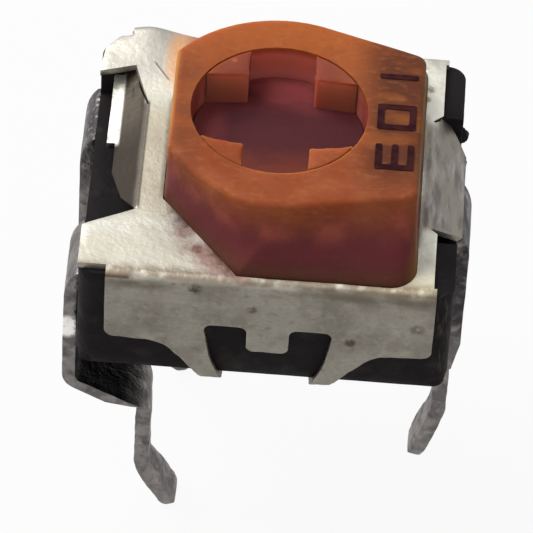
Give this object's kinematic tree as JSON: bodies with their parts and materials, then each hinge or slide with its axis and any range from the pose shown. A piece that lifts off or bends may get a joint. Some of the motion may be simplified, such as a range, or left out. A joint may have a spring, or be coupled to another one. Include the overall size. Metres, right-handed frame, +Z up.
{
  "type": "trimmer potentiometer",
  "caption": "Small single-turn trimmer potentiometer: folded sheet cover crimped over a black base, amber housing with a cross-slotted rotor, and formed leads.",
  "frame": {"origin": "on the rotor's axis, in the plane that the feet of the leads stand on", "axes": "+Z up along the rotor's axis, +X towards the side with the single lead, -Y towards the front skirt"},
  "size_m": [0.0054, 0.0046, 0.0065],
  "materials": {
    "black_moulding": "moulded thermoset, matt black",
    "tinned_sheet": "tin-plated steel sheet, dull and slightly mottled",
    "amber_moulding": "translucent amber moulded plastic",
    "white_ceramic": "fired alumina",
    "resistive_film": "fired cermet film",
    "conductor_film": "fired silver-palladium film",
    "tinned_lead": "tin-plated strip, dulled",
    "solder": "solder fillet",
    "seal_rubber": "silicone ring",
    "spring_metal": "nickel-plated spring alloy"
  },
  "bodies": {
    "body": {"base_body": "black_moulding", "metal_cover": "tinned_sheet", "rotor_housing": "amber_moulding", "ceramic_substrate": "white_ceramic", "resistive_track": "resistive_film", "track_end_pad_front": "conductor_film", "track_end_pad_back": "conductor_film", "collector_conductor": "conductor_film", "terminal_front_left": "tinned_lead", "terminal_back_left": "tinned_lead", "terminal_right": "tinned_lead", "solder_joint_front_left": "solder", "solder_joint_back_left": "solder", "solder_joint_right": "solder", "o_ring": "seal_rubber"},
    "rotor": {"rotor": "amber_moulding", "wiper_spring": "spring_metal"}
  },
  "joints": [
    {"name": "rotor_turn", "type": "hinge", "parent": "body", "child": "rotor", "pos_m": [0, 0, 0.0055], "axis": [0, 0, 1], "range_deg": [-120, 120]}
  ]
}
